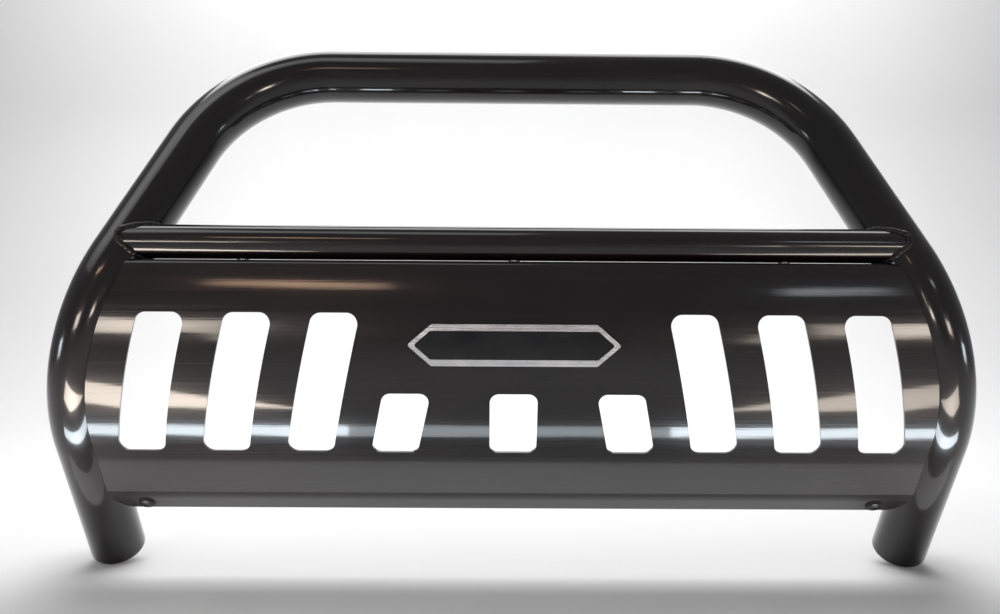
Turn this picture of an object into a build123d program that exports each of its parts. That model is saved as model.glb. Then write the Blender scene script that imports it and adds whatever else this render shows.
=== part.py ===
from build123d import *
from math import asin, cos, degrees, radians, sin, sqrt, tan
import os

# Front grille guard: a bent main hoop, a cross tube, a bolted skid plate and a badge.
# Millimetres. X runs across the vehicle, Y to the rear, Z up; the front faces -Y.
# While building, Y = 0 is the axis of the top bar and Z = 0 is the ground under the legs.

# ---- driving dimensions: main hoop -------------------------------------------------
overall_width = 1035.5          # outside of leg to outside of leg
overall_height = 629.5          # rim of the leg ends to the top of the hoop
hoop_od = 63.5
hoop_wall = 2.0
corner_inset = 152.0            # upper corners sit this far inboard of the legs
corner_bend = 172.0             # centreline radius of the upper bends
knee_height = 267.1             # where the upper and lower leg lines meet
knee_bend = 213.0               # centreline radius of the leg bends
upper_lean = 24.6               # degrees, the hoop leans back above the knee
lower_lean = 33.2               # degrees, the legs run back below the knee

# ---- driving dimensions: cross tube ------------------------------------------------
cross_od = 38.1
cross_wall = 2.0
cross_height = 385.2
cross_forward = 15.5            # ahead of the leg axis, so its face is level with the legs

# ---- driving dimensions: skid plate ------------------------------------------------
plate_thickness = 3.0
plate_roll = 230.0              # outside radius of the rolled face
plate_crown_height = 283.8      # height of the foremost line of the plate
plate_standoff = 25.5           # lower face of the plate ahead of the leg axis
plate_edge_gap = 1.0            # between the plate edge and the tube
plate_corner = 26.0             # rounding of the lower corners, seen from the front
lower_flat = 75.0               # straight run below the rolled part
lip_lean = 50.0                 # degrees from upright
lip_length = 27.0
lip_bend = 45.0
flange_bend = 8.0
flange_behind_screws = 13.0

# ---- driving dimensions: openings in the plate -------------------------------------
slot_width = 52.0
slot_lean = 12.0                # degrees, the feet of the slots splay outward
slot_corner = 12.0
slot_top = 22.5                 # measured along the rolled face from the crown line
slot_bottom = -137.0
inner_slot_x = 208.5
outer_slot_inset = 90.5         # outer slot centre inboard of the leg axis
slots_per_side = 3
window_top = -64.0
window_bottom = -139.5
window_corner = 10.0
window_spacing = 124.0

# ---- driving dimensions: brackets and fasteners ------------------------------------
ear_thickness = 6.0
ear_offset = 18.0               # inner face of the ear outboard of the leg axis
ear_top = 119.8
ear_bottom = 30.8
ear_depth = 67.5                # rear edge of the ear behind the top bar axis
ear_corner = 15.0
ear_hole = 13.0                 # clears an M12 bolt
ear_hole_pitch = 45.0
ear_hole_edge = 24.0            # hole centre to the rear edge
tab_thickness = 5.0
tab_width = 18.0
tab_corner = 6.0
tab_overhang = 22.0             # beyond the bolt, toward the middle
skid_bolt_inset = 60.5          # bolt centre inboard of the leg axis
skid_bolt_edge = 11.0           # bolt centre to the free edge of the lip
bolt_d = 8.0
bolt_hole = 9.0
bolt_flange_d = 17.5
bolt_flange_t = 1.0
bolt_head_d = 14.0
bolt_head_height = 3.2
bolt_socket = 5.0
washer_od = 20.0
washer_t = 1.0
nut_flats = 13.0
nut_hex_height = 6.0
nut_height = 8.0
screw_d = 6.0
screw_hole = 7.0
screw_head_d = 10.5
screw_head_height = 3.3
screw_socket = 4.0
screw_length = 16.0
screw_washer_od = 12.0
screw_washer_t = 1.2
screw_spacing = 300.0
rivet_nut_hole = 9.0
rivet_nut_flange_d = 13.0
rivet_nut_flange_t = 1.0
rivet_nut_length = 13.0
rivet_nut_collar_d = 11.6
plug_recess = 3.0
plug_face = 3.0
plug_wall = 2.0
plug_depth = 18.0

# ---- driving dimensions: badge -----------------------------------------------------
badge_width = 230.0
badge_height = 45.0
badge_point = 26.0              # how far the ends taper to a point
badge_border = 7.0
badge_centre = -9.7             # along the rolled face from the crown line
tape_thickness = 0.8
tape_inset = 2.0
badge_thickness = 3.2
inlay_depth = 1.4

# ---- small clearances --------------------------------------------------------------
thread_gap = 0.05               # radial, between a shank and its nut
rivet_gap = 0.05                # radial, between a rivet nut and its hole
plug_gap = 0.05                 # radial, between an end plug and the tube bore
inlay_gap = 0.05

# ---- derived geometry --------------------------------------------------------------
hoop_r = hoop_od / 2
cross_r = cross_od / 2
leg_x = overall_width / 2 - hoop_r
top_z = overall_height - hoop_r
foot_z = hoop_r * sin(radians(lower_lean))
knee_y = -(top_z - knee_height) * tan(radians(upper_lean))
foot_y = knee_y + (knee_height - foot_z) * tan(radians(lower_lean))
foot_direction = Vector(0, sin(radians(lower_lean)), -cos(radians(lower_lean)))

upper_share = (top_z - cross_height) / (top_z - knee_height)
cross_y = knee_y * upper_share - cross_forward
cross_reach = leg_x - corner_inset * (1 - upper_share)

roll_centre_z = plate_crown_height
roll_centre_y = knee_y + (
    (plate_roll - plate_standoff) - (roll_centre_z - knee_height) * sin(radians(lower_lean))
) / cos(radians(lower_lean))

flange_top_z = cross_height - cross_r - rivet_nut_flange_t
flange_lean = degrees(
    asin((flange_top_z - flange_bend - roll_centre_z) / (plate_roll - flange_bend))
)
outer_slot_x = leg_x - outer_slot_inset
screw_positions = [-screw_spacing, 0.0, screw_spacing]


def turn_between(before, after):
    cosine = max(-1.0, min(1.0, before.dot(after)))
    return sqrt((1 - cosine) / 2), sqrt((1 + cosine) / 2)


def rounded_path(points, radii):
    """Straight runs through the points, joined by tangent arcs of the given radii."""
    edges = []
    start = points[0]
    for index, radius in enumerate(radii, start=1):
        before = (points[index] - points[index - 1]).normalized()
        after = (points[index + 1] - points[index]).normalized()
        half_sine, half_cosine = turn_between(before, after)
        setback = radius * half_sine / half_cosine
        arc_start = points[index] - before * setback
        arc_end = points[index] + after * setback
        inward = (after - before).normalized()
        middle = points[index] + inward * (radius / half_cosine - radius)
        if (arc_start - start).length > 1e-4:
            edges.append(Edge.make_line(start, arc_start))
        edges.append(Edge.make_three_point_arc(arc_start, middle, arc_end))
        start = arc_end
    if (points[-1] - start).length > 1e-4:
        edges.append(Edge.make_line(start, points[-1]))
    return edges


def hoop_points():
    left = [
        Vector(-leg_x, foot_y, foot_z),
        Vector(-leg_x, knee_y, knee_height),
        Vector(-(leg_x - corner_inset), 0, top_z),
    ]
    right = [Vector(-p.X, p.Y, p.Z) for p in reversed(left)]
    return left + right


def hoop_rod(radius):
    """A solid rod that follows the hoop centreline."""
    path = Wire(rounded_path(hoop_points(), [knee_bend, corner_bend, corner_bend, knee_bend]))
    start_plane = Plane(origin=hoop_points()[0], z_dir=-foot_direction)
    return sweep(start_plane * Circle(radius), path=path)


def largest_solid(shape):
    return max(shape.solids(), key=lambda solid: solid.volume)


def in_plane_bar(radius, length, plane):
    return plane * Cylinder(radius, length)


def rolled_direction(distance):
    """Outward direction of the rolled face, a given distance up from the crown line."""
    angle = distance / plate_roll
    return Vector(0, -cos(angle), sin(angle))


def rolled_plane(x, distance):
    outward = rolled_direction(distance)
    centre = Vector(0, roll_centre_y, roll_centre_z)
    return Plane(
        origin=centre + outward * plate_roll + Vector(x, 0, 0), x_dir=(1, 0, 0), z_dir=outward
    )


def plate_front_points():
    """Corner points of the plate's front face in side view, from the lip to the flange."""
    centre = Vector(0, roll_centre_y, roll_centre_z)
    low = radians(lower_lean)
    high = radians(flange_lean)
    roll_foot = centre + Vector(0, -cos(low), -sin(low)) * plate_roll
    lip_corner = roll_foot + foot_direction * lower_flat
    lip = radians(lip_lean)
    lip_edge = lip_corner + Vector(0, sin(lip), -cos(lip)) * lip_length
    half = (low + high) / 2
    middle = (high - low) / 2
    roll_corner = centre + Vector(0, -cos(middle), sin(middle)) * (plate_roll / cos(half))
    bend_centre = centre + Vector(0, -cos(high), sin(high)) * (plate_roll - flange_bend)
    half_turn = (radians(90) - high) / 2
    toward = (radians(90) + high) / 2
    flange_corner = bend_centre + Vector(0, -cos(toward), sin(toward)) * (
        flange_bend / cos(half_turn)
    )
    flange_edge = Vector(0, cross_y + flange_behind_screws, flange_top_z)
    return [lip_edge, lip_corner, roll_corner, flange_corner, flange_edge]


def offset_points(points, distance):
    """The same corner points moved to the back face of the sheet."""
    moved = []
    for index, point in enumerate(points):
        runs = []
        if index > 0:
            runs.append((point - points[index - 1]).normalized())
        if index < len(points) - 1:
            runs.append((points[index + 1] - point).normalized())
        normals = [Vector(0, run.Z, -run.Y) for run in runs]
        if len(normals) == 1:
            moved.append(point + normals[0] * distance)
        else:
            bisector = (normals[0] + normals[1]).normalized()
            moved.append(point + bisector * (distance / bisector.dot(normals[0])))
    return moved


def leaning_opening(width, height, lean, corner):
    shift = tan(radians(lean)) * height / 2
    outline = Polygon(
        (-width / 2 + shift, -height / 2),
        (width / 2 + shift, -height / 2),
        (width / 2 - shift, height / 2),
        (-width / 2 - shift, height / 2),
        align=None,
    )
    return fillet(outline.vertices(), corner)


def plate_openings():
    cutters = []
    slot_height = slot_top - slot_bottom
    slot_middle = (slot_top + slot_bottom) / 2
    pitch = (outer_slot_x - inner_slot_x) / (slots_per_side - 1)
    for side in (-1, 1):
        outline = leaning_opening(slot_width, slot_height, side * slot_lean, slot_corner)
        for count in range(slots_per_side):
            plane = rolled_plane(side * (inner_slot_x + count * pitch), slot_middle)
            cutters.append(extrude(plane * outline, amount=30, both=True))
    window_height = window_top - window_bottom
    window_middle = (window_top + window_bottom) / 2
    for side in (-1, 0, 1):
        outline = leaning_opening(slot_width, window_height, side * slot_lean, window_corner)
        plane = rolled_plane(side * window_spacing, window_middle)
        cutters.append(extrude(plane * outline, amount=30, both=True))
    return cutters


def lip_plane(side):
    """At a skid bolt, on the front face of the lip, facing outward."""
    edge = plate_front_points()[0]
    lip = radians(lip_lean)
    centre = edge - Vector(0, sin(lip), -cos(lip)) * skid_bolt_edge
    x = side * (leg_x - skid_bolt_inset)
    return Plane(
        origin=centre + Vector(x, 0, 0), x_dir=(1, 0, 0), z_dir=(0, -cos(lip), -sin(lip))
    )


def plate_corner_cutter(side):
    """What is cut away to round a lower corner of the plate."""
    across = leg_x - sqrt(max(0.0, hoop_r**2 - plate_standoff**2)) - plate_corner
    centre = Pos(side * across, 0, plate_front_points()[0].Z + plate_corner)
    reach = 2 * plate_corner
    block = Pos(side * plate_corner, 0, -plate_corner) * Box(reach, 2 * plate_roll, reach)
    return centre * (block - Rot(90, 0, 0) * Cylinder(plate_corner, 2 * plate_roll))


def skid_plate(clearance_rod):
    front = plate_front_points()
    back = offset_points(front, plate_thickness)
    bends = [lip_bend, plate_roll, flange_bend]
    front_edges = rounded_path(front, bends)
    back_edges = rounded_path(back, [radius - plate_thickness for radius in bends])
    ends = [Edge.make_line(front[0], back[0]), Edge.make_line(front[-1], back[-1])]
    profile = make_face(front_edges + back_edges + ends)
    sheet = extrude(profile, amount=leg_x, dir=(1, 0, 0), both=True)
    sheet = Part() + largest_solid(sheet - clearance_rod)
    for cutter in plate_openings():
        sheet -= cutter
    for side in (-1, 1):
        sheet -= plate_corner_cutter(side)
        sheet -= in_plane_bar(bolt_hole / 2, 4 * plate_thickness, lip_plane(side))
    for x in screw_positions:
        sheet -= Pos(x, cross_y, flange_top_z) * Cylinder(screw_hole / 2, 4 * plate_thickness)
    return largest_solid(sheet)


def cross_axis_plane(x):
    return Plane(origin=(x, cross_y, cross_height), z_dir=(1, 0, 0))


def cross_tube(rod):
    tube = in_plane_bar(cross_r, 2 * cross_reach, cross_axis_plane(0))
    tube = Part() + largest_solid(tube - rod)
    tube -= in_plane_bar(cross_r - cross_wall, 3 * leg_x, cross_axis_plane(0))
    for x in screw_positions:
        below = Pos(x, cross_y, cross_height - cross_r)
        tube -= below * Cylinder(rivet_nut_hole / 2, 6 * cross_wall)
    return largest_solid(tube)


def frame_ear(side, rod):
    centre_slope = tan(radians(lower_lean))
    outline = Polygon(
        (foot_y - (ear_top - foot_z) * centre_slope, ear_top),
        (ear_depth, ear_top),
        (ear_depth, ear_bottom),
        (foot_y - (ear_bottom - foot_z) * centre_slope, ear_bottom),
        align=None,
    )
    rear = outline.vertices().group_by(Axis.X)[-1]
    outline = fillet(rear, ear_corner)
    inner_x = leg_x + ear_offset
    plane = Plane(origin=(inner_x, 0, 0), x_dir=(0, 1, 0), z_dir=(1, 0, 0))
    ear = extrude(plane * outline, amount=ear_thickness, dir=(1, 0, 0))
    middle_z = (ear_top + ear_bottom) / 2
    for step in (-0.5, 0.5):
        hole = Plane(
            origin=(inner_x, ear_depth - ear_hole_edge, middle_z + step * ear_hole_pitch),
            z_dir=(1, 0, 0),
        )
        ear -= in_plane_bar(ear_hole / 2, 4 * ear_thickness, hole)
    if side < 0:
        ear = mirror(ear, about=Plane.YZ)
    return largest_solid(ear - rod)


def skid_tab(side, rod):
    reach = skid_bolt_inset
    outline = Polygon(
        (reach, tab_width / 2),
        (-tab_overhang, tab_width / 2),
        (-tab_overhang, -tab_width / 2),
        (reach, -tab_width / 2),
        align=None,
    )
    outline = fillet(outline.vertices().group_by(Axis.X)[0], tab_corner)
    back = lip_plane(1).offset(-plate_thickness - tab_thickness)
    tab = extrude(back * outline, amount=tab_thickness, dir=back.z_dir)
    tab -= in_plane_bar(bolt_hole / 2, 6 * tab_thickness, back)
    if side < 0:
        tab = mirror(tab, about=Plane.YZ)
    return largest_solid(tab - rod)


def end_plug(side):
    """A cup pressed into the open end of a leg, a little below the rim."""
    bore = hoop_r - hoop_wall - plug_gap
    plane = Plane(origin=(side * leg_x, foot_y, foot_z), z_dir=-foot_direction)
    face = plane.offset(plug_recess) * Cylinder(
        bore, plug_depth, align=(Align.CENTER, Align.CENTER, Align.MIN)
    )
    hollow = plane.offset(plug_recess + plug_face) * Cylinder(
        bore - plug_wall, plug_depth, align=(Align.CENTER, Align.CENTER, Align.MIN)
    )
    return largest_solid(face - hollow)


def standing_cylinder(radius, height, base):
    return Pos(0, 0, base) * Cylinder(
        radius, height, align=(Align.CENTER, Align.CENTER, Align.MIN)
    )


def domed_head(diameter, height, base, socket):
    """A button head with a hexagon socket, standing on the base height."""
    radius = diameter / 2
    ball = (radius * radius + height * height) / (2 * height)
    head = standing_cylinder(radius, height, base)
    head &= Pos(0, 0, base + height - ball) * Sphere(ball)
    socket_cut = Pos(0, 0, base + height * 0.4) * extrude(
        RegularPolygon(socket / 2, 6, major_radius=False), amount=height
    )
    return head - socket_cut


def skid_bolt(side):
    grip = plate_thickness + tab_thickness + nut_height + 1.5
    shank = standing_cylinder(bolt_d / 2 - thread_gap, grip + washer_t + 0.1, -grip)
    flange = standing_cylinder(bolt_flange_d / 2, bolt_flange_t, washer_t)
    head = domed_head(bolt_head_d, bolt_head_height, washer_t + bolt_flange_t, bolt_socket)
    return lip_plane(side) * (flange + head + shank)


def skid_washer(side):
    ring = standing_cylinder(washer_od / 2, washer_t, 0)
    ring -= standing_cylinder(bolt_hole / 2, washer_t, 0)
    return lip_plane(side) * ring


def skid_nut(side):
    top = -plate_thickness - tab_thickness
    hexagon = RegularPolygon(nut_flats / 2, 6, major_radius=False)
    body = Pos(0, 0, top - nut_hex_height) * extrude(hexagon, amount=nut_hex_height)
    body += standing_cylinder(nut_flats / 2 - 0.6, nut_height, top - nut_height)
    body -= standing_cylinder(bolt_d / 2, 2 * nut_height, top - 1.5 * nut_height)
    return lip_plane(side) * body


def under_flange(x):
    """On the underside of the top flange at a screw, facing down."""
    return Plane(
        origin=(x, cross_y, flange_top_z - plate_thickness), x_dir=(1, 0, 0), z_dir=(0, 0, -1)
    )


def flange_screw(x):
    shank = standing_cylinder(
        screw_d / 2 - thread_gap, screw_length + 0.1, screw_washer_t - screw_length
    )
    head = domed_head(screw_head_d, screw_head_height, screw_washer_t, screw_socket)
    return under_flange(x) * (head + shank)


def flange_washer(x):
    ring = standing_cylinder(screw_washer_od / 2, screw_washer_t, 0)
    ring -= standing_cylinder(screw_d / 2 + 0.2, screw_washer_t, 0)
    return under_flange(x) * ring


def rivet_nut(x, tube):
    base = Pos(x, cross_y, flange_top_z)
    nut = base * standing_cylinder(rivet_nut_flange_d / 2, rivet_nut_flange_t, 0)
    nut += base * standing_cylinder(rivet_nut_hole / 2 - rivet_gap, rivet_nut_length, 0)
    collar_base = rivet_nut_flange_t + cross_wall
    collar = base * standing_cylinder(rivet_nut_collar_d / 2, 3.0, collar_base)
    nut += collar - in_plane_bar(cross_r, 100, cross_axis_plane(x)) + (collar - tube)
    nut -= base * standing_cylinder(screw_d / 2, 2 * rivet_nut_length, -1)
    return largest_solid(nut)


def rolled_shell(low, high):
    """A curved slab lying over the rolled face, between two heights above it."""
    axis = Plane(origin=(0, roll_centre_y, roll_centre_z), z_dir=(1, 0, 0))
    outer = in_plane_bar(plate_roll + high, 2 * badge_width, axis)
    return outer - in_plane_bar(plate_roll + low, 2 * badge_width, axis)


def pointed_block(inset):
    """A bar with pointed ends, cut straight through the badge area."""
    half_w = badge_width / 2 - inset
    half_h = badge_height / 2 - inset
    shoulder = half_w - badge_point * (half_h / (badge_height / 2))
    outline = Polygon(
        (-half_w, 0), (-shoulder, half_h), (shoulder, half_h),
        (half_w, 0), (shoulder, -half_h), (-shoulder, -half_h), align=None,
    )
    outline = fillet(outline.vertices(), 2.5)
    return extrude(rolled_plane(0, badge_centre) * outline, amount=20, both=True)


def badge_parts():
    top = tape_thickness + badge_thickness
    tape = rolled_shell(0, tape_thickness) & pointed_block(tape_inset)
    frame = rolled_shell(tape_thickness, top) & pointed_block(0)
    pocket = rolled_shell(top - inlay_depth, top + 5) & pointed_block(badge_border)
    inlay = rolled_shell(top - inlay_depth, top - inlay_depth / 2) & pointed_block(
        badge_border + inlay_gap
    )
    return frame - pocket, inlay, tape


def build():
    rod = hoop_rod(hoop_r)
    parts = {"hoop_tube": rod - hoop_rod(hoop_r - hoop_wall)}
    parts["cross_tube"] = cross_tube(rod)
    parts["skid_plate"] = skid_plate(hoop_rod(hoop_r + plate_edge_gap))
    for name, side in (("left", 1), ("right", -1)):
        parts["frame_ear_" + name] = frame_ear(side, rod)
        parts["skid_tab_" + name] = skid_tab(side, rod)
        parts["end_plug_" + name] = end_plug(side)
        parts["skid_bolt_" + name] = skid_bolt(side)
        parts["skid_washer_" + name] = skid_washer(side)
        parts["skid_nut_" + name] = skid_nut(side)
    parts["flange_screws"] = Compound([flange_screw(x).solid() for x in screw_positions])
    parts["flange_washers"] = Compound([flange_washer(x).solid() for x in screw_positions])
    parts["rivet_nuts"] = Compound(
        [rivet_nut(x, parts["cross_tube"]) for x in screw_positions]
    )
    parts["badge_frame"], parts["badge_inlay"], parts["badge_tape"] = badge_parts()
    return parts


parts = build()
boxes = [shape.bounding_box() for shape in parts.values()]
middle_y = (min(box.min.Y for box in boxes) + max(box.max.Y for box in boxes)) / 2
lowest = min(box.min.Z for box in boxes)
os.makedirs("parts", exist_ok=True)
for name, shape in parts.items():
    solids = (Pos(0, -middle_y, -lowest) * shape).solids()
    moved = solids[0] if len(solids) == 1 else Compound(solids)
    export_step(moved, "parts/" + name + ".step")
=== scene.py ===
import math

import bmesh
import bpy
from mathutils import Matrix, Quaternion, Vector


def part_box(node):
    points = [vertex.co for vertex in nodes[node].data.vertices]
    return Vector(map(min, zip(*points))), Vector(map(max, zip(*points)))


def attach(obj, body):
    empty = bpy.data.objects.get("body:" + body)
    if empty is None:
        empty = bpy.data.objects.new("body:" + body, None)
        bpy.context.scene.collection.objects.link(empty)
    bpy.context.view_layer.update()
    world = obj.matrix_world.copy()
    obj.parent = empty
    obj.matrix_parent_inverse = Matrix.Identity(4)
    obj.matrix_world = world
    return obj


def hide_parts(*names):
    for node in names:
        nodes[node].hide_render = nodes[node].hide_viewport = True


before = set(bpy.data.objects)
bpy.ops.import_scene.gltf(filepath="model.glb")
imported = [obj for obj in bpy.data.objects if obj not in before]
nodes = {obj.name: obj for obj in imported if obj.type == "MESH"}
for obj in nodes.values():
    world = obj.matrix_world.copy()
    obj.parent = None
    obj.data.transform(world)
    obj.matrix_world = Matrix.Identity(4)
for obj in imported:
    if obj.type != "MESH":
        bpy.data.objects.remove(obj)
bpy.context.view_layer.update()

# ---- sizes read back from the frame (metres) ---------------------------------------
hoop_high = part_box("hoop_tube")[1]
cross_low, cross_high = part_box("cross_tube")
ear_low, ear_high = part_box("frame_ear_left")

HOOP_R = 0.03175
HOOP_WALL = 0.002
EAR_DEPTH = 0.0675
LEG_X = hoop_high[0] - HOOP_R
TOP_Z = hoop_high[2] - HOOP_R
UPPER_LEAN = math.radians(24.6)
LOWER_LEAN = math.radians(33.2)
LIP_LEAN = math.radians(50.0)
TAB_WIDTH = 0.018
TAB_THICKNESS = 0.005
KNEE_HEIGHT = 0.2671
KNEE_BEND = 0.213
CORNER_BEND = 0.172
CORNER_INSET = 0.152
RIM_EDGE = 0.0006           # rounding on the rims of the legs
RIM_DEPTH = 0.03            # how far the bore of each leg is drawn
HOOP_SIDES = 96
HOOP_STEP = 0.004
BEAD_SIDES = 12
BEAD_STEP = 0.0006
FOOT_Z = HOOP_R * math.sin(LOWER_LEAN)
CROSS_R = (cross_high[2] - cross_low[2]) / 2
CROSS_Y = (cross_high[1] + cross_low[1]) / 2
CROSS_Z = (cross_high[2] + cross_low[2]) / 2
KNEE_RUN = (TOP_Z - KNEE_HEIGHT) * math.tan(UPPER_LEAN)
FOOT_RUN = (KNEE_HEIGHT - FOOT_Z) * math.tan(LOWER_LEAN)
TOP_Y = ear_high[1] - EAR_DEPTH
KNEE_Y = TOP_Y - KNEE_RUN
FOOT_Y = KNEE_Y + FOOT_RUN


# ---- material helpers --------------------------------------------------------------
def new_material(name):
    mat = bpy.data.materials.new(name)
    mat.use_nodes = True
    tree = mat.node_tree
    tree.nodes.clear()
    out = tree.nodes.new("ShaderNodeOutputMaterial")
    shader = tree.nodes.new("ShaderNodeBsdfPrincipled")
    tree.links.new(shader.outputs["BSDF"], out.inputs["Surface"])
    return mat, tree, shader


def object_coords(tree, scale, use_uv=False):
    coords = tree.nodes.new("ShaderNodeTexCoord")
    mapping = tree.nodes.new("ShaderNodeMapping")
    mapping.inputs["Scale"].default_value = scale
    source = coords.outputs["UV"] if use_uv else coords.outputs["Object"]
    tree.links.new(source, mapping.inputs["Vector"])
    return mapping.outputs["Vector"]


def noise(tree, vector, scale, detail=4.0, rough=0.55):
    node = tree.nodes.new("ShaderNodeTexNoise")
    node.inputs["Scale"].default_value = scale
    node.inputs["Detail"].default_value = detail
    node.inputs["Roughness"].default_value = rough
    tree.links.new(vector, node.inputs["Vector"])
    return node.outputs["Fac"]


def ramp(tree, value, stops):
    node = tree.nodes.new("ShaderNodeValToRGB")
    elements = node.color_ramp.elements
    while len(elements) < len(stops):
        elements.new(0.5)
    for element, (place, colour) in zip(elements, stops):
        element.position = place
        element.color = (*colour, 1.0)
    tree.links.new(value, node.inputs["Fac"])
    return node.outputs["Color"]


def map_range(tree, value, low, high, to_low, to_high):
    node = tree.nodes.new("ShaderNodeMapRange")
    node.inputs["From Min"].default_value = low
    node.inputs["From Max"].default_value = high
    node.inputs["To Min"].default_value = to_low
    node.inputs["To Max"].default_value = to_high
    tree.links.new(value, node.inputs["Value"])
    return node.outputs["Result"]


def combine(tree, first, second, operation):
    node = tree.nodes.new("ShaderNodeMath")
    node.operation = operation
    tree.links.new(first, node.inputs[0])
    if isinstance(second, float):
        node.inputs[1].default_value = second
    else:
        tree.links.new(second, node.inputs[1])
    return node.outputs[0]


def bump(tree, height, strength, distance, under=None):
    node = tree.nodes.new("ShaderNodeBump")
    node.inputs["Strength"].default_value = strength
    node.inputs["Distance"].default_value = distance
    tree.links.new(height, node.inputs["Height"])
    if under is not None:
        tree.links.new(under, node.inputs["Normal"])
    return node.outputs["Normal"]


DUST_CELLS = 30.0           # cells per metre, each with room for one speck
DUST_REACH = 0.030          # radius of a speck, as a share of a cell
DUST_RARITY = 0.90          # share of the cells left clean


def dusted(tree, colour, vector):
    """Lays a few light specks of dust, up to two millimetres across, over the colour."""
    cells = tree.nodes.new("ShaderNodeTexVoronoi")
    cells.inputs["Scale"].default_value = DUST_CELLS
    tree.links.new(vector, cells.inputs["Vector"])
    split = tree.nodes.new("ShaderNodeSeparateColor")
    tree.links.new(cells.outputs["Color"], split.inputs["Color"])
    near = combine(tree, cells.outputs["Distance"], DUST_REACH, "LESS_THAN")
    picked = combine(tree, split.outputs[0], DUST_RARITY, "GREATER_THAN")
    mix = tree.nodes.new("ShaderNodeMix")
    mix.data_type = "RGBA"
    mix.inputs["B"].default_value = (0.15, 0.14, 0.13, 1.0)
    tree.links.new(combine(tree, near, picked, "MULTIPLY"), mix.inputs["Factor"])
    tree.links.new(colour, mix.inputs["A"])
    return mix.outputs["Result"]


def black_coat(name, grain_scale, use_uv, rough_low, rough_high, grain_bump, coat):
    """Gloss black coat over drawn metal: grain along the part, light orange peel, dust."""
    mat, tree, shader = new_material(name)
    grain_vector = object_coords(tree, grain_scale, use_uv)
    grain = noise(tree, grain_vector, 1.0, 6.0, 0.65)
    broad_vector = object_coords(tree, tuple(v * 0.22 for v in grain_scale), use_uv)
    broad = noise(tree, broad_vector, 1.0, 3.0, 0.5)
    plain = object_coords(tree, (1, 1, 1))
    cloud = noise(tree, plain, 9.0, 5.0, 0.6)
    peel = noise(tree, plain, 420.0, 2.0, 0.5)
    tint = combine(tree, combine(tree, grain, 0.45, "MULTIPLY"),
                   combine(tree, cloud, 0.55, "MULTIPLY"), "ADD")
    colour = ramp(tree, tint, [
        (0.30, (0.0030, 0.0018, 0.0020)),
        (0.52, (0.0062, 0.0042, 0.0044)),
        (0.75, (0.0140, 0.0098, 0.0094)),
    ])
    tree.links.new(dusted(tree, colour, plain), shader.inputs["Base Color"])
    mixed = combine(tree, combine(tree, grain, 0.6, "MULTIPLY"),
                    combine(tree, broad, 0.4, "MULTIPLY"), "ADD")
    tree.links.new(map_range(tree, mixed, 0.3, 0.7, rough_low, rough_high),
                   shader.inputs["Roughness"])
    shader.inputs["IOR"].default_value = 1.5
    shader.inputs["Specular IOR Level"].default_value = 0.2
    shader.inputs["Coat Weight"].default_value = coat
    shader.inputs["Coat Roughness"].default_value = 0.06
    shader.inputs["Coat IOR"].default_value = 1.5
    lined = bump(tree, grain, grain_bump, 0.0006)
    waved = bump(tree, broad, grain_bump * 0.6, 0.0015, lined)
    peeled = bump(tree, peel, 0.035, 0.0004, waved)
    tree.links.new(peeled, shader.inputs["Normal"])
    tree.links.new(bump(tree, grain, grain_bump * 0.35, 0.0006), shader.inputs["Coat Normal"])
    return mat


def metal(name, dark, light, rough_low, rough_high, grain_scale, strength):
    mat, tree, shader = new_material(name)
    grain = noise(tree, object_coords(tree, grain_scale), 1.0, 5.0, 0.6)
    stain = noise(tree, object_coords(tree, (1, 1, 1)), 60.0, 4.0, 0.55)
    tree.links.new(ramp(tree, stain, [(0.3, dark), (0.7, light)]), shader.inputs["Base Color"])
    tree.links.new(map_range(tree, grain, 0.3, 0.7, rough_low, rough_high),
                   shader.inputs["Roughness"])
    shader.inputs["Metallic"].default_value = 1.0
    tree.links.new(bump(tree, grain, strength, 0.0004), shader.inputs["Normal"])
    return mat


def moulded(name, dark, light, rough_low, rough_high, fine_scale, strength):
    mat, tree, shader = new_material(name)
    fine = noise(tree, object_coords(tree, (1, 1, 1)), fine_scale, 3.0, 0.55)
    cloud = noise(tree, object_coords(tree, (1, 1, 1)), 40.0, 4.0, 0.6)
    tree.links.new(ramp(tree, cloud, [(0.3, dark), (0.7, light)]), shader.inputs["Base Color"])
    tree.links.new(map_range(tree, cloud, 0.3, 0.7, rough_low, rough_high),
                   shader.inputs["Roughness"])
    tree.links.new(bump(tree, fine, strength, 0.0004), shader.inputs["Normal"])
    return mat


tube_coat = black_coat("tube_coat_look", (3.0, 900.0, 1.0), True, 0.14, 0.28, 0.10, 0.8)
cross_coat = black_coat("cross_coat_look", (3.0, 420.0, 420.0), False, 0.14, 0.28, 0.10, 0.8)
plate_coat = black_coat("plate_coat_look", (2.2, 520.0, 520.0), False, 0.16, 0.32, 0.16, 0.8)
bracket_coat = black_coat("bracket_coat_look", (90.0, 90.0, 90.0), False, 0.25, 0.42, 0.08, 0.6)
weld_coat = black_coat("weld_coat_look", (160.0, 160.0, 160.0), False, 0.30, 0.44, 0.06, 0.3)
bolt_look = metal("bolt_look", (0.030, 0.029, 0.031), (0.075, 0.072, 0.074), 0.34, 0.50,
                  (300, 300, 300), 0.15)
nut_look = metal("nut_look", (0.38, 0.38, 0.40), (0.62, 0.61, 0.58), 0.25, 0.45,
                 (300, 300, 300), 0.15)
badge_look = metal("badge_look", (0.66, 0.66, 0.68), (0.84, 0.84, 0.85), 0.20, 0.34,
                   (8, 900, 900), 0.12)
rubber_look = moulded("rubber_look", (0.006, 0.006, 0.006), (0.014, 0.014, 0.014), 0.55, 0.75,
                      900.0, 0.25)
plug_look = moulded("plug_look", (0.010, 0.010, 0.010), (0.022, 0.022, 0.022), 0.45, 0.6,
                    500.0, 0.3)
tape_look = moulded("tape_look", (0.03, 0.03, 0.03), (0.06, 0.06, 0.06), 0.7, 0.9, 1500.0, 0.4)
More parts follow.
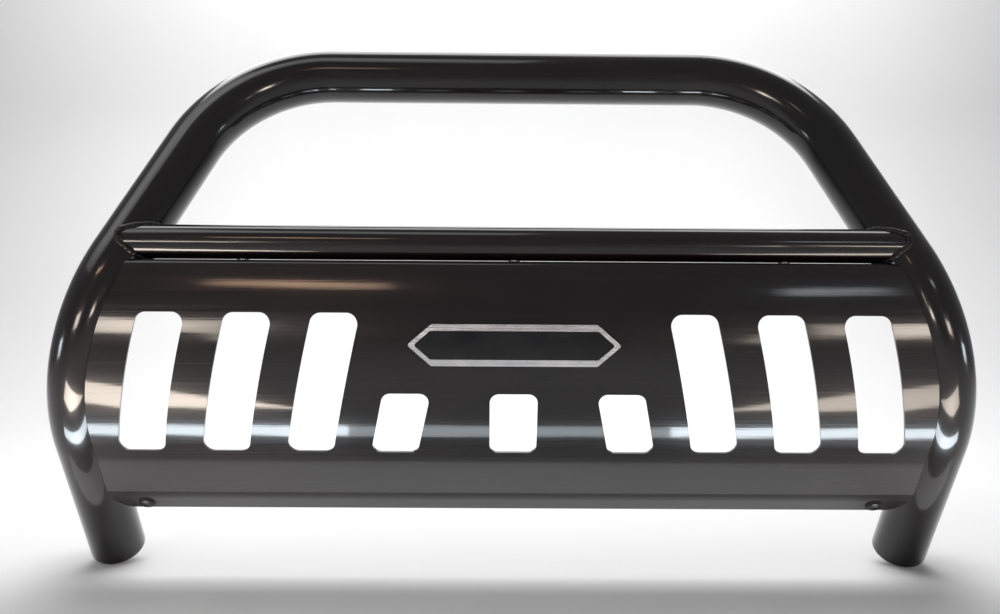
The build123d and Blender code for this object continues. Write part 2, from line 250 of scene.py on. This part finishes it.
inlay_look = moulded("inlay_look", (0.006, 0.006, 0.007), (0.013, 0.013, 0.015), 0.12, 0.22,
                     700.0, 0.05)

LOOKS = {
    "cross_tube": cross_coat,
    "skid_plate": plate_coat,
    "frame_ear_left": bracket_coat, "frame_ear_right": bracket_coat,
    "skid_tab_left": bracket_coat, "skid_tab_right": bracket_coat,
    "end_plug_left": plug_look, "end_plug_right": plug_look,
    "skid_bolt_left": bolt_look, "skid_bolt_right": bolt_look,
    "skid_washer_left": rubber_look, "skid_washer_right": rubber_look,
    "skid_nut_left": nut_look, "skid_nut_right": nut_look,
    "flange_screws": bolt_look, "flange_washers": nut_look, "rivet_nuts": nut_look,
    "badge_frame": badge_look, "badge_inlay": inlay_look, "badge_tape": tape_look,
}
for node, look in LOOKS.items():
    for material_slot in nodes[node].material_slots:
        material_slot.material = look


# ---- main hoop: a finely divided tube with lengthwise texture coordinates ------------
def rounded_path(points, radii, step):
    """Points along straight runs joined by tangent arcs."""
    path = [points[0]]
    for index, radius in enumerate(radii, start=1):
        before = (points[index] - points[index - 1]).normalized()
        after = (points[index + 1] - points[index]).normalized()
        turn = before.angle(after)
        setback = radius * math.tan(turn / 2)
        start = points[index] - before * setback
        inward = (after - before).normalized()
        centre = points[index] + inward * (radius / math.cos(turn / 2))
        axis = before.cross(after).normalized()
        path += straight_run(path[-1], start, step)
        count = max(8, int(radius * turn / step))
        for k in range(1, count + 1):
            spin = Matrix.Rotation(turn * k / count, 3, axis)
            path.append(centre + spin @ (start - centre))
    path += straight_run(path[-1], points[-1], step)
    return path


def straight_run(start, end, step):
    length = (end - start).length
    if length < 1e-6:
        return []
    count = max(1, int(length / step))
    return [start.lerp(end, k / count) for k in range(1, count + 1)]


def hoop_path(step):
    left = [
        Vector((-LEG_X, FOOT_Y, FOOT_Z)),
        Vector((-LEG_X, KNEE_Y, KNEE_HEIGHT)),
        Vector((-(LEG_X - CORNER_INSET), TOP_Y, TOP_Z)),
    ]
    right = [Vector((-p.x, p.y, p.z)) for p in reversed(left)]
    return rounded_path(left + right, [KNEE_BEND, CORNER_BEND, CORNER_BEND, KNEE_BEND], step)


def rings_along(path, sides):
    """Directions of a ring of points at each path point, carried along without twist."""
    tangents = []
    for index in range(len(path)):
        low = path[max(0, index - 1)]
        high = path[min(len(path) - 1, index + 1)]
        tangents.append((high - low).normalized())
    normal = Vector((1, 0, 0))
    rings = []
    for tangent in tangents:
        normal = (normal - tangent * normal.dot(tangent)).normalized()
        side = tangent.cross(normal)
        rings.append([
            normal * math.cos(2 * math.pi * k / sides) + side * math.sin(2 * math.pi * k / sides)
            for k in range(sides)
        ])
    return tangents, rings


def build_hoop():
    sides = HOOP_SIDES
    path = hoop_path(HOOP_STEP)
    tangents, rings = rings_along(path, sides)
    lengths = [0.0]
    for a, b in zip(path, path[1:]):
        lengths.append(lengths[-1] + (b - a).length)
    mesh = bmesh.new()
    uv_layer = mesh.loops.layers.uv.new("along")
    edge = RIM_EDGE
    inner = HOOP_R - HOOP_WALL
    profile = [(point, ring, HOOP_R, at) for point, ring, at in zip(path, rings, lengths)]
    start, end = path[0], path[-1]
    first, last = tangents[0], tangents[-1]

    def rim(point, direction, ring, at):
        return [
            (point + direction * edge, ring, HOOP_R, at),
            (point + direction * edge * 0.3, ring, HOOP_R - edge * 0.3, at),
            (point, ring, HOOP_R - edge, at),
            (point, ring, inner + edge * 0.5, at),
            (point + direction * edge * 0.5, ring, inner, at),
            (point + direction * RIM_DEPTH, ring, inner, at),
        ]

    rows = list(reversed(rim(start, first, rings[0], 0.0)))
    rows += profile[1:-1]
    rows += rim(end, -last, rings[-1], lengths[-1])
    loops = []
    for point, ring, radius, at in rows:
        loops.append(([mesh.verts.new(point + direction * radius) for direction in ring], at))
    for (low, low_at), (high, high_at) in zip(loops, loops[1:]):
        for k in range(sides):
            nxt = (k + 1) % sides
            face = mesh.faces.new((low[k], low[nxt], high[nxt], high[k]))
            face.smooth = True
            around = 2 * math.pi * HOOP_R / sides
            spots = ((low_at, k), (low_at, k + 1), (high_at, k + 1), (high_at, k))
            for loop, (u, v) in zip(face.loops, spots):
                loop[uv_layer].uv = (u, v * around)
    bmesh.ops.recalc_face_normals(mesh, faces=mesh.faces)
    data = bpy.data.meshes.new("hoop_surface")
    mesh.to_mesh(data)
    mesh.free()
    data.materials.append(tube_coat)
    hoop = bpy.data.objects.new("hoop_surface", data)
    bpy.context.collection.objects.link(hoop)
    data.set_sharp_from_angle(angle=math.radians(50))
    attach(hoop, "root")
    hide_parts("hoop_tube")
    return hoop


hoop = build_hoop()


# ---- weld beads --------------------------------------------------------------------
def bead(name, points, radius, pitch, closed=False):
    """A row of overlapping weld ripples laid along the points."""
    spaced = [points[0]]
    for a, b in zip(points, points[1:]):
        spaced += straight_run(a, b, BEAD_STEP)
    tangents, rings = rings_along(spaced, BEAD_SIDES)
    mesh = bmesh.new()
    travelled = 0.0
    loops = []
    last = len(spaced) - 1
    for index, (point, ring) in enumerate(zip(spaced, rings)):
        if index:
            travelled += (point - spaced[index - 1]).length
        phase = (travelled / pitch) % 1.0
        swell = 0.86 + 0.14 * math.sqrt(max(0.0, 1 - (2 * phase - 1) ** 2))
        wander = 1 + 0.07 * math.sin(travelled * 410) + 0.05 * math.sin(travelled * 983 + 1.3)
        size = radius * swell * wander
        if not closed:
            size *= min(1.0, 0.35 + min(index, last - index) * 0.12)
        loops.append([mesh.verts.new(point + direction * size) for direction in ring])
    for low, high in zip(loops, loops[1:]):
        for k in range(BEAD_SIDES):
            nxt = (k + 1) % BEAD_SIDES
            face = mesh.faces.new((low[k], low[nxt], high[nxt], high[k]))
            face.smooth = True
    if not closed:
        mesh.faces.new(list(reversed(loops[0])))
        mesh.faces.new(loops[-1])
    bmesh.ops.recalc_face_normals(mesh, faces=mesh.faces)
    data = bpy.data.meshes.new(name)
    mesh.to_mesh(data)
    mesh.free()
    data.materials.append(weld_coat)
    obj = bpy.data.objects.new(name, data)
    bpy.context.collection.objects.link(obj)
    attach(obj, "root")
    return obj


def cross_weld_points():
    """Round the end of the cross tube, where it meets the upper leg (+X side)."""
    corner = Vector((LEG_X - CORNER_INSET, TOP_Y, TOP_Z))
    knee = Vector((LEG_X, KNEE_Y, KNEE_HEIGHT))
    axis = (knee - corner).normalized()
    points = []
    count = 240
    for k in range(count + 1):
        angle = 2 * math.pi * k / count
        y = CROSS_Y + CROSS_R * math.cos(angle)
        z = CROSS_Z + CROSS_R * math.sin(angle)
        base = Vector((0, y, z)) - corner
        across = Vector((1, 0, 0)) - axis * axis.x
        off = base - axis * base.dot(axis)
        a = across.length_squared
        b = 2 * across.dot(off)
        c = off.length_squared - HOOP_R ** 2
        inside = b * b - 4 * a * c
        x = (-b - math.sqrt(inside)) / (2 * a) if inside > 0 else cross_high[0]
        points.append(Vector((x, y, z)))
    reach = 9
    smooth = []
    for k in range(count):
        near = [points[(k + j) % count].x for j in range(-reach, reach + 1)]
        smooth.append(Vector((sum(near) / len(near), points[k].y, points[k].z)))
    return smooth + smooth[:1]


def mirrored(points):
    return [Vector((-p.x, p.y, p.z)) for p in points]


cross_points = cross_weld_points()
bead("cross_weld_left", cross_points, 0.0036, 0.0040, True)
bead("cross_weld_right", mirrored(cross_points), 0.0036, 0.0040, True)


EAR_WELD_SHORT = 0.002      # the ear's welds stop this far inside its ends


def ear_weld_points(x):
    offset = math.sqrt(HOOP_R ** 2 - (x - LEG_X) ** 2)
    down = Vector((0, math.sin(LOWER_LEAN), -math.cos(LOWER_LEAN)))
    rearward = Vector((0, math.cos(LOWER_LEAN), math.sin(LOWER_LEAN)))
    knee = Vector((x, KNEE_Y, KNEE_HEIGHT)) + rearward * offset
    points = []
    for z in (ear_high[2] - EAR_WELD_SHORT, ear_low[2] + EAR_WELD_SHORT):
        travel = (knee.z - z) / math.cos(LOWER_LEAN)
        points.append(knee + down * travel)
    return points


for label, x in (("inner", ear_low[0]), ("outer", ear_high[0])):
    run = ear_weld_points(x)
    bead("ear_weld_left_" + label, run, 0.0024, 0.0030)
    bead("ear_weld_right_" + label, mirrored(run), 0.0024, 0.0030)


def tab_weld_points():
    """Round three sides of the tab where it meets the leg; the plate lies on the fourth."""
    low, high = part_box("skid_tab_left")
    middle = Vector((0, (low[1] + high[1]) / 2, (low[2] + high[2]) / 2))
    up = Vector((0, -math.sin(LIP_LEAN), math.cos(LIP_LEAN)))
    back = Vector((0, math.cos(LIP_LEAN), math.sin(LIP_LEAN)))
    corners = (up * TAB_WIDTH / 2, (up * TAB_WIDTH + back * TAB_THICKNESS) / 2,
               (back * TAB_THICKNESS - up * TAB_WIDTH) / 2, -up * TAB_WIDTH / 2)
    path = [corners[0]]
    for start, end in zip(corners, corners[1:]):
        path += straight_run(start, end, 0.0005)
    points = []
    for k in range(len(path)):
        near = path[max(0, k - 2):k + 3]
        point = middle + sum(near, Vector()) / len(near)
        behind = ((point.y - KNEE_Y) * math.cos(LOWER_LEAN)
                  + (point.z - KNEE_HEIGHT) * math.sin(LOWER_LEAN))
        point.x = LEG_X - math.sqrt(HOOP_R ** 2 - behind ** 2)
        points.append(point)
    return points


tab_points = tab_weld_points()
bead("tab_weld_left", tab_points, 0.0022, 0.0028)
bead("tab_weld_right", mirrored(tab_points), 0.0022, 0.0028)


# ---- floor, backdrop, light and camera -----------------------------------------------
FLOOR_FRONT = -5.0
FLOOR_BACK = 1.0            # the floor starts to curve up here
SWEEP_RADIUS = 1.0
SWEEP_STEPS = 24
SWEEP_HALF_WIDTH = 5.0
WALL_TOP = 2.0


def build_stage():
    depth = [(FLOOR_FRONT, 0.0), (FLOOR_BACK, 0.0)]
    for k in range(1, SWEEP_STEPS + 1):
        angle = math.pi / 2 * k / SWEEP_STEPS
        depth.append((FLOOR_BACK + SWEEP_RADIUS * math.sin(angle),
                      SWEEP_RADIUS * (1 - math.cos(angle))))
    depth.append((FLOOR_BACK + SWEEP_RADIUS, WALL_TOP))
    mesh = bmesh.new()
    rows = [[mesh.verts.new((x, y, z)) for x in (-SWEEP_HALF_WIDTH, SWEEP_HALF_WIDTH)]
            for y, z in depth]
    for low, high in zip(rows, rows[1:]):
        face = mesh.faces.new((low[0], low[1], high[1], high[0]))
        face.smooth = True
    data = bpy.data.meshes.new("studio_sweep")
    mesh.to_mesh(data)
    mesh.free()
    mat, tree, shader = new_material("studio_paper")
    cloud = noise(tree, object_coords(tree, (1, 1, 1)), 1.3, 3.0, 0.5)
    tree.links.new(ramp(tree, cloud, [(0.3, (0.80, 0.80, 0.80)), (0.7, (0.84, 0.84, 0.84))]),
                   shader.inputs["Base Color"])
    shader.inputs["Roughness"].default_value = 0.9
    shader.inputs["Specular IOR Level"].default_value = 0.1
    data.materials.append(mat)
    obj = bpy.data.objects.new("studio_sweep", data)
    bpy.context.collection.objects.link(obj)


def area_light(name, location, target, width, height, power, colour, spread=180.0, turn=0.0):
    """A panel that lights and reflects, but isn't seen by the camera; angles in degrees."""
    data = bpy.data.lights.new(name, "AREA")
    data.shape = "RECTANGLE"
    data.size = width
    data.size_y = height
    data.energy = power
    data.color = colour
    data.spread = math.radians(spread)
    obj = bpy.data.objects.new(name, data)
    obj.location = location
    direction = Vector(target) - Vector(location)
    aim = direction.to_track_quat("-Z", "Y") @ Quaternion((0, 0, 1), math.radians(turn))
    obj.rotation_euler = aim.to_euler()
    obj.visible_camera = False
    bpy.context.collection.objects.link(obj)


def build_light():
    world = bpy.data.worlds.new("studio_air")
    world.use_nodes = True
    world.node_tree.nodes["Background"].inputs["Color"].default_value = (0.95, 0.95, 1.0, 1.0)
    world.node_tree.nodes["Background"].inputs["Strength"].default_value = 0.24
    bpy.context.scene.world = world
    warm = (1.0, 0.88, 0.76)
    amber = (1.0, 0.66, 0.45)
    cool = (0.84, 0.94, 1.0)
    white = (1.0, 1.0, 1.0)
    # soft light from above, and the broad pale bands on the tubes
    area_light("overhead", (0, 1.1, 2.1), (0, 1.05, 0), 3.0, 1.8, 62, white)
    area_light("high_left", (-0.50, -0.70, 2.0), (-0.35, 0.0, 0.50), 1.2, 0.50, 0.32, white, 60)
    area_light("wing_left", (-1.45, -0.55, 1.85), (-0.43, 0.0, 0.45), 1.3, 1.5, 1.20, white, 60)
    # a warm glint on each upper bend
    for side in (-1, 1):
        area_light("corner", (side * -0.62, -2.44, 0.40), (side * 0.30, 0.05, 0.565),
                   0.80, 0.66, 0.13, warm, 10)
    # warm and cool bands across the plate, from its upper part to its lip
    area_light("side_left", (-1.45, -2.6, 0.42), (-0.46, -0.1, 0.285), 1.2, 0.40, 0.26, warm, 17)
    area_light("side_right", (1.72, -2.6, 0.40), (0.54, -0.1, 0.285), 1.0, 0.36, 0.16, warm, 17)
    for side, share in ((-1, 1.0), (1, 0.55)):
        area_light("low_warm", (side * 0.46, -0.294, 0.012), (side * 0.46, -0.0925, 0.22),
                   0.38, 0.085, 0.90 * share, warm, 110, side * 20)
    area_light("upper_left", (-0.80, -2.5, 1.62), (-0.24, -0.1, 0.34), 0.70, 0.17, 0.06, amber, 24)
    area_light("upper_right", (1.35, -2.5, 1.50), (0.42, -0.1, 0.33), 0.40, 0.20, 0.02, cool, 24)
    for side in (-1, 1):
        area_light("low", (side * 0.42, -0.1665, 0.012), (side * 0.42, -0.079, 0.178),
                   0.42, 0.034, 0.42, cool, 120)
        area_light("edge", (side * 2.3, -0.9, 0.17), (side * 0.5, -0.08, 0.22),
                   0.45, 0.30, 0.07, cool, 20)
    area_light("low_middle", (0, -0.1665, 0.012), (0, -0.079, 0.178), 0.42, 0.034, 0.11, cool, 120)
    area_light("under", (0, -0.067, 0.012), (0, -0.043, 0.12), 1.20, 0.042, 0.08, white, 120)


CAMERA_PLACE = Vector((-0.0241, -1.0897, 0.3152))
CAMERA_YAW = 0.0086
CAMERA_ROLL = 0.0064


def build_camera():
    data = bpy.data.cameras.new("studio_camera")
    data.sensor_width = 36.0
    data.lens = 33.08
    data.clip_start = 0.01
    camera = bpy.data.objects.new("studio_camera", data)
    forward = Vector((math.sin(CAMERA_YAW), math.cos(CAMERA_YAW), 0.0))
    right = Vector((math.cos(CAMERA_YAW), -math.sin(CAMERA_YAW), 0.0))
    up = right.cross(forward)
    rolled_right = right * math.cos(CAMERA_ROLL) + up * math.sin(CAMERA_ROLL)
    rolled_up = up * math.cos(CAMERA_ROLL) - right * math.sin(CAMERA_ROLL)
    pose = Matrix((rolled_right, rolled_up, -forward)).transposed().to_4x4()
    pose.translation = CAMERA_PLACE
    camera.matrix_world = pose
    bpy.context.collection.objects.link(camera)
    bpy.context.scene.camera = camera


build_stage()
build_light()
build_camera()
bpy.context.scene.view_settings.view_transform = "Standard"
